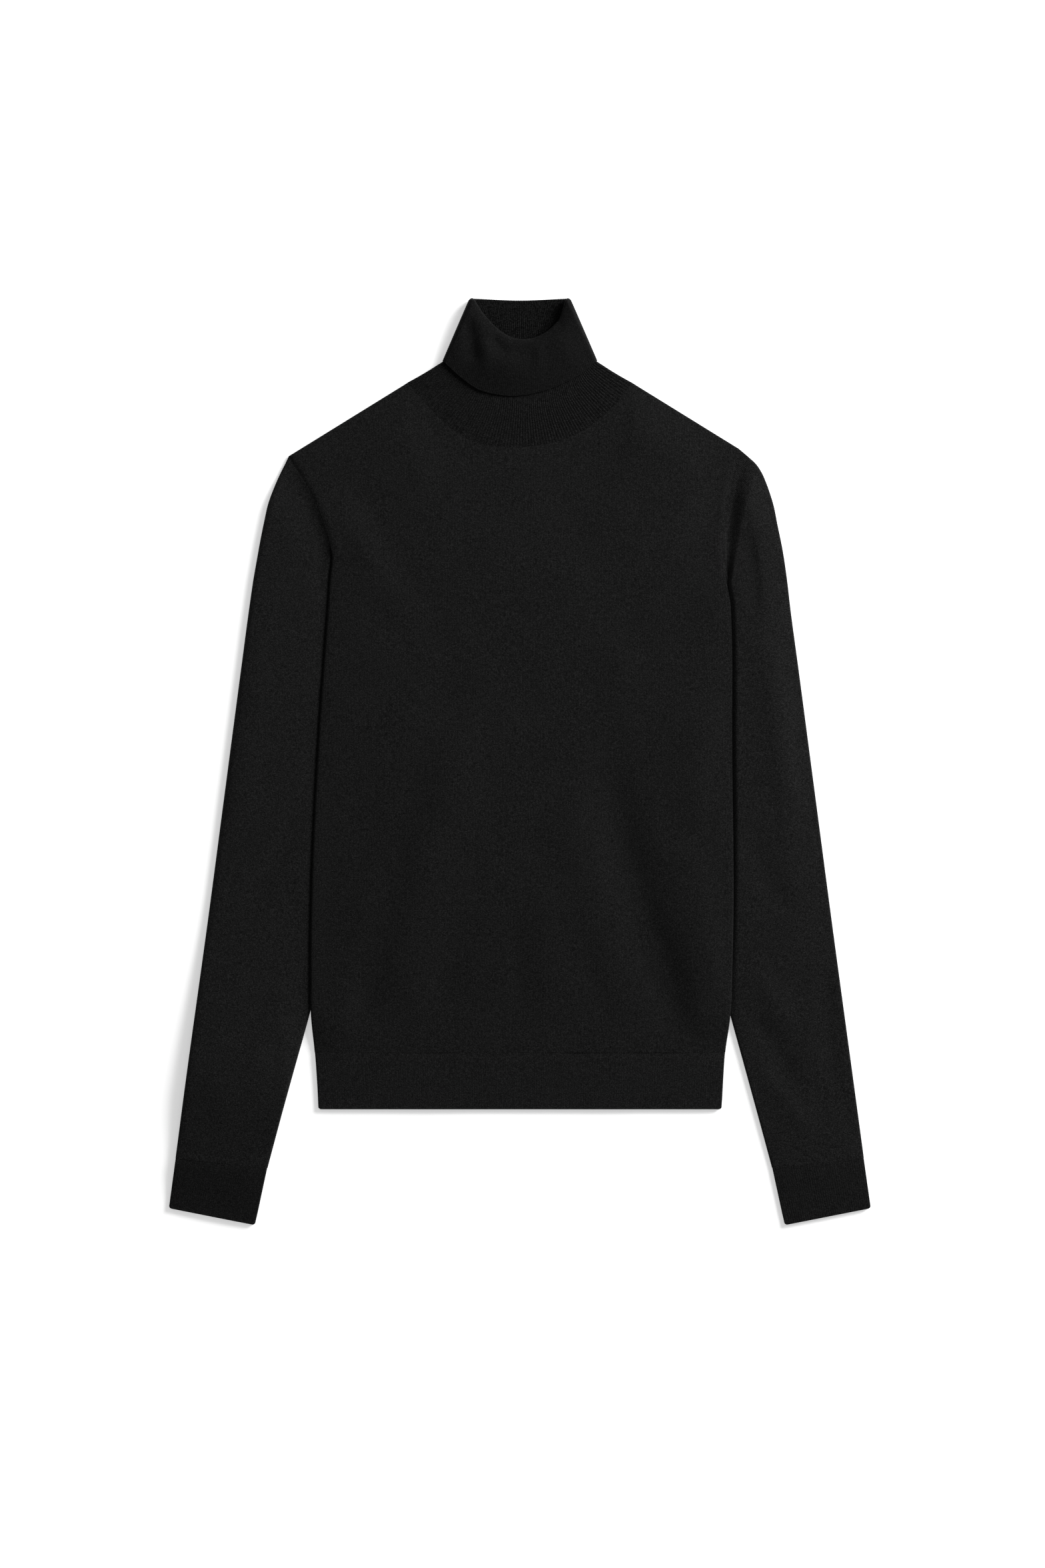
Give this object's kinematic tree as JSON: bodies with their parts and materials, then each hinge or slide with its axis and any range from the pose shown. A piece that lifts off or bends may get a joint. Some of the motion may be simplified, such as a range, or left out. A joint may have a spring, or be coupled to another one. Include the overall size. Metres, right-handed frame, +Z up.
{
  "type": "turtleneck sweater",
  "caption": "Slim fine-knit pullover with a long ribbed collar turned down once, long set-in sleeves, ribbed cuffs and a ribbed hem band, laid out flat.",
  "frame": {"origin": "centre of the garment's outline, on the surface it lies on", "axes": "+X across the chest to the right as seen from the front, +Y from the hem to the collar, +Z up from the surface"},
  "size_m": [0.6584, 0.8684, 0.012],
  "materials": {
    "jersey": "matte",
    "rib": "matte"
  },
  "bodies": {
    "root": {"body_front": "jersey", "body_back": "jersey", "sleeve_left": "jersey", "sleeve_right": "jersey", "cuff_left": "rib", "cuff_right": "rib", "hem_band": "rib", "collar": "rib"}
  },
  "joints": []
}
